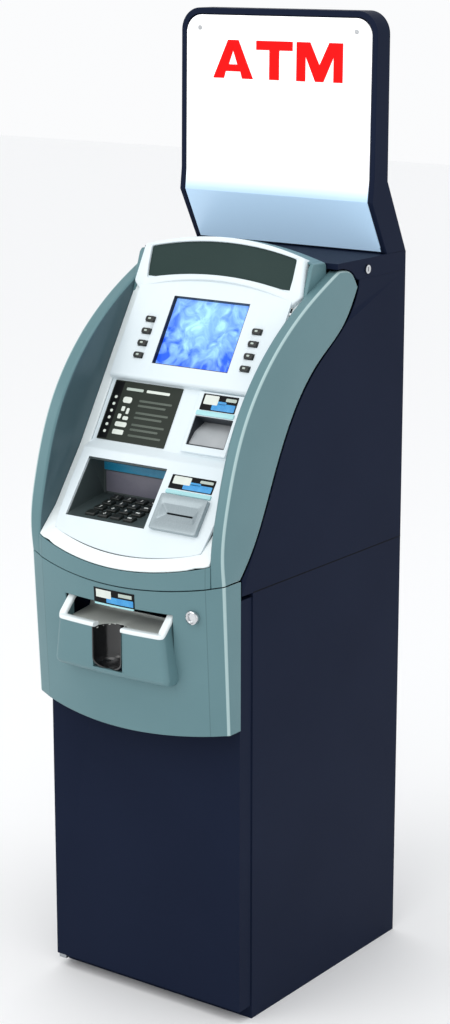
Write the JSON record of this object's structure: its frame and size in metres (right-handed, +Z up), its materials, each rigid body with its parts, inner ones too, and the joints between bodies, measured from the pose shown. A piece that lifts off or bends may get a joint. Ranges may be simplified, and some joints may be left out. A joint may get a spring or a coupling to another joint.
{
  "type": "atm machine",
  "caption": "Free-standing cash machine: steel safe with swinging door and cash tray, sliding upper fascia with screen, keypad, card and receipt slots, and a tall lit sign.",
  "frame": {"origin": "centre of the safe's foot print and of its anchor-bolt pattern, at floor level", "axes": "+Z up, the customer stands on the -Y side, +X to the customer's right"},
  "size_m": [0.443, 0.632, 1.812],
  "materials": {
    "navy_steel": "fine satin powder coat",
    "grey_plastic": "metallic silver-grey moulding, satin",
    "white_plastic": "smooth light moulding",
    "dark_window": "dark smoked plastic",
    "screen": "lit display",
    "black_plastic": "fine texture",
    "key_black": "moulded keys",
    "steel": "zinc-plated sheet",
    "silver": "nickel-plated lock",
    "card_metal": "satin",
    "sign_white": "back-lit translucent sheet",
    "sign_red": "vinyl",
    "lamp_white": "tube lamp",
    "paper": "thermal paper",
    "tyre_rubber": "ground rubber"
  },
  "bodies": {
    "cabinet": {"safe_body": "navy_steel", "hinge_pivots": "steel", "upper_cabinet": "navy_steel", "power_inlet": "black_plastic", "computer_box": "steel", "power_supply": "steel", "cabinet_rails": "steel", "dispenser_frame": "steel", "cash_cassette": "black_plastic", "topper_base": "navy_steel", "sign_shell": "navy_steel", "sign_face": "sign_white", "sign_letters": "sign_red", "sign_screws": "steel", "sign_lamps": "lamp_white"},
    "door": {"safe_door": "navy_steel", "mid_fascia": "grey_plastic", "cash_tray": "grey_plastic"},
    "bolts": {"bolt_bar": "steel"},
    "key_lock": {"lock_plug": "silver"},
    "feed": {"feed_roller": "tyre_rubber"},
    "fascia": {"wing_frame": "grey_plastic", "bezel_frame": "white_plastic", "control_panel": "white_plastic", "header_housing": "white_plastic", "header_window": "dark_window", "lcd_screen": "screen", "info_panel": "black_plastic", "receipt_bezel": "white_plastic", "receipt_printer": "black_plastic", "card_bezel": "card_metal", "card_reader": "black_plastic", "keypad_body": "black_plastic", "fascia_rails": "steel"},
    "paper": {"paper_roll": "paper"},
    "cam_lock": {"top_lock": "silver"},
    "function_key_left_1": {"function_key_left_1": "key_black"},
    "function_key_left_2": {"function_key_left_2": "key_black"},
    "function_key_left_3": {"function_key_left_3": "key_black"},
    "function_key_left_4": {"function_key_left_4": "key_black"},
    "function_key_right_1": {"function_key_right_1": "key_black"},
    "function_key_right_2": {"function_key_right_2": "key_black"},
    "function_key_right_3": {"function_key_right_3": "key_black"},
    "function_key_right_4": {"function_key_right_4": "key_black"},
    "keypad_key_01": {"keypad_key_01": "key_black"},
    "keypad_key_02": {"keypad_key_02": "key_black"},
    "keypad_key_03": {"keypad_key_03": "key_black"},
    "keypad_key_04": {"keypad_key_04": "key_black"},
    "keypad_key_05": {"keypad_key_05": "key_black"},
    "keypad_key_06": {"keypad_key_06": "key_black"},
    "keypad_key_07": {"keypad_key_07": "key_black"},
    "keypad_key_08": {"keypad_key_08": "key_black"},
    "keypad_key_09": {"keypad_key_09": "key_black"},
    "keypad_key_10": {"keypad_key_10": "key_black"},
    "keypad_key_11": {"keypad_key_11": "key_black"},
    "keypad_key_12": {"keypad_key_12": "key_black"},
    "keypad_key_13": {"keypad_key_13": "key_black"},
    "keypad_key_14": {"keypad_key_14": "key_black"},
    "keypad_key_15": {"keypad_key_15": "key_black"},
    "keypad_key_16": {"keypad_key_16": "key_black"}
  },
  "joints": [
    {"name": "safe_door_hinge", "type": "hinge", "parent": "cabinet", "child": "door", "pos_m": [-0.213, -0.264, 0.4], "axis": [0, 0, -1], "range_deg": [0, 100]},
    {"name": "bolt_slide", "type": "slide", "parent": "door", "child": "bolts", "axis": [1, 0, 0], "range_m": [0, 0.0212]},
    {"name": "fascia_lock_turn", "type": "hinge", "parent": "door", "child": "key_lock", "pos_m": [0.162, -0.3, 0.788], "axis": [0, -1, 0], "range_deg": [0, 90]},
    {"name": "feed_roller_spin", "type": "hinge", "parent": "cabinet", "child": "feed", "pos_m": [0, -0.196, 0.764], "axis": [1, 0, 0], "continuous": true},
    {"name": "fascia_slide", "type": "slide", "parent": "cabinet", "child": "fascia", "axis": [0, -1, 0], "range_m": [0, 0.25]},
    {"name": "paper_roll_spin", "type": "hinge", "parent": "fascia", "child": "paper", "pos_m": [0.084, -0.06453, 1.067], "axis": [1, 0, 0], "continuous": true},
    {"name": "top_lock_turn", "type": "hinge", "parent": "cabinet", "child": "cam_lock", "pos_m": [0.21, 0.112, 1.352], "axis": [1, 0, 0], "range_deg": [0, 90]},
    {"name": "function_key_left_1_press", "type": "slide", "parent": "fascia", "child": "function_key_left_1", "axis": [0, 0.8526, -0.5225], "range_m": [0, 0.002], "stiffness_N_per_m": 300, "springref_m": -0.0006},
    {"name": "function_key_left_2_press", "type": "slide", "parent": "fascia", "child": "function_key_left_2", "axis": [0, 0.8526, -0.5225], "range_m": [0, 0.002], "stiffness_N_per_m": 300, "springref_m": -0.0006},
    {"name": "function_key_left_3_press", "type": "slide", "parent": "fascia", "child": "function_key_left_3", "axis": [0, 0.8526, -0.5225], "range_m": [0, 0.002], "stiffness_N_per_m": 300, "springref_m": -0.0006},
    {"name": "function_key_left_4_press", "type": "slide", "parent": "fascia", "child": "function_key_left_4", "axis": [0, 0.8526, -0.5225], "range_m": [0, 0.002], "stiffness_N_per_m": 300, "springref_m": -0.0006},
    {"name": "function_key_right_1_press", "type": "slide", "parent": "fascia", "child": "function_key_right_1", "axis": [0, 0.8526, -0.5225], "range_m": [0, 0.002], "stiffness_N_per_m": 300, "springref_m": -0.0006},
    {"name": "function_key_right_2_press", "type": "slide", "parent": "fascia", "child": "function_key_right_2", "axis": [0, 0.8526, -0.5225], "range_m": [0, 0.002], "stiffness_N_per_m": 300, "springref_m": -0.0006},
    {"name": "function_key_right_3_press", "type": "slide", "parent": "fascia", "child": "function_key_right_3", "axis": [0, 0.8526, -0.5225], "range_m": [0, 0.002], "stiffness_N_per_m": 300, "springref_m": -0.0006},
    {"name": "function_key_right_4_press", "type": "slide", "parent": "fascia", "child": "function_key_right_4", "axis": [0, 0.8526, -0.5225], "range_m": [0, 0.002], "stiffness_N_per_m": 300, "springref_m": -0.0006},
    {"name": "keypad_key_01_press", "type": "slide", "parent": "fascia", "child": "keypad_key_01", "axis": [0, 0.1685, -0.9857], "range_m": [0, 0.002], "stiffness_N_per_m": 300, "springref_m": -0.0006},
    {"name": "keypad_key_02_press", "type": "slide", "parent": "fascia", "child": "keypad_key_02", "axis": [0, 0.1685, -0.9857], "range_m": [0, 0.002], "stiffness_N_per_m": 300, "springref_m": -0.0006},
    {"name": "keypad_key_03_press", "type": "slide", "parent": "fascia", "child": "keypad_key_03", "axis": [0, 0.1685, -0.9857], "range_m": [0, 0.002], "stiffness_N_per_m": 300, "springref_m": -0.0006},
    {"name": "keypad_key_04_press", "type": "slide", "parent": "fascia", "child": "keypad_key_04", "axis": [0, 0.1685, -0.9857], "range_m": [0, 0.002], "stiffness_N_per_m": 300, "springref_m": -0.0006},
    {"name": "keypad_key_05_press", "type": "slide", "parent": "fascia", "child": "keypad_key_05", "axis": [0, 0.1685, -0.9857], "range_m": [0, 0.002], "stiffness_N_per_m": 300, "springref_m": -0.0006},
    {"name": "keypad_key_06_press", "type": "slide", "parent": "fascia", "child": "keypad_key_06", "axis": [0, 0.1685, -0.9857], "range_m": [0, 0.002], "stiffness_N_per_m": 300, "springref_m": -0.0006},
    {"name": "keypad_key_07_press", "type": "slide", "parent": "fascia", "child": "keypad_key_07", "axis": [0, 0.1685, -0.9857], "range_m": [0, 0.002], "stiffness_N_per_m": 300, "springref_m": -0.0006},
    {"name": "keypad_key_08_press", "type": "slide", "parent": "fascia", "child": "keypad_key_08", "axis": [0, 0.1685, -0.9857], "range_m": [0, 0.002], "stiffness_N_per_m": 300, "springref_m": -0.0006},
    {"name": "keypad_key_09_press", "type": "slide", "parent": "fascia", "child": "keypad_key_09", "axis": [0, 0.1685, -0.9857], "range_m": [0, 0.002], "stiffness_N_per_m": 300, "springref_m": -0.0006},
    {"name": "keypad_key_10_press", "type": "slide", "parent": "fascia", "child": "keypad_key_10", "axis": [0, 0.1685, -0.9857], "range_m": [0, 0.002], "stiffness_N_per_m": 300, "springref_m": -0.0006},
    {"name": "keypad_key_11_press", "type": "slide", "parent": "fascia", "child": "keypad_key_11", "axis": [0, 0.1685, -0.9857], "range_m": [0, 0.002], "stiffness_N_per_m": 300, "springref_m": -0.0006},
    {"name": "keypad_key_12_press", "type": "slide", "parent": "fascia", "child": "keypad_key_12", "axis": [0, 0.1685, -0.9857], "range_m": [0, 0.002], "stiffness_N_per_m": 300, "springref_m": -0.0006},
    {"name": "keypad_key_13_press", "type": "slide", "parent": "fascia", "child": "keypad_key_13", "axis": [0, 0.1685, -0.9857], "range_m": [0, 0.002], "stiffness_N_per_m": 300, "springref_m": -0.0006},
    {"name": "keypad_key_14_press", "type": "slide", "parent": "fascia", "child": "keypad_key_14", "axis": [0, 0.1685, -0.9857], "range_m": [0, 0.002], "stiffness_N_per_m": 300, "springref_m": -0.0006},
    {"name": "keypad_key_15_press", "type": "slide", "parent": "fascia", "child": "keypad_key_15", "axis": [0, 0.1685, -0.9857], "range_m": [0, 0.002], "stiffness_N_per_m": 300, "springref_m": -0.0006},
    {"name": "keypad_key_16_press", "type": "slide", "parent": "fascia", "child": "keypad_key_16", "axis": [0, 0.1685, -0.9857], "range_m": [0, 0.002], "stiffness_N_per_m": 300, "springref_m": -0.0006}
  ],
  "couplings": [
    {"joint": "fascia_lock_turn", "follows": "bolt_slide", "rad_per_m": 74}
  ]
}
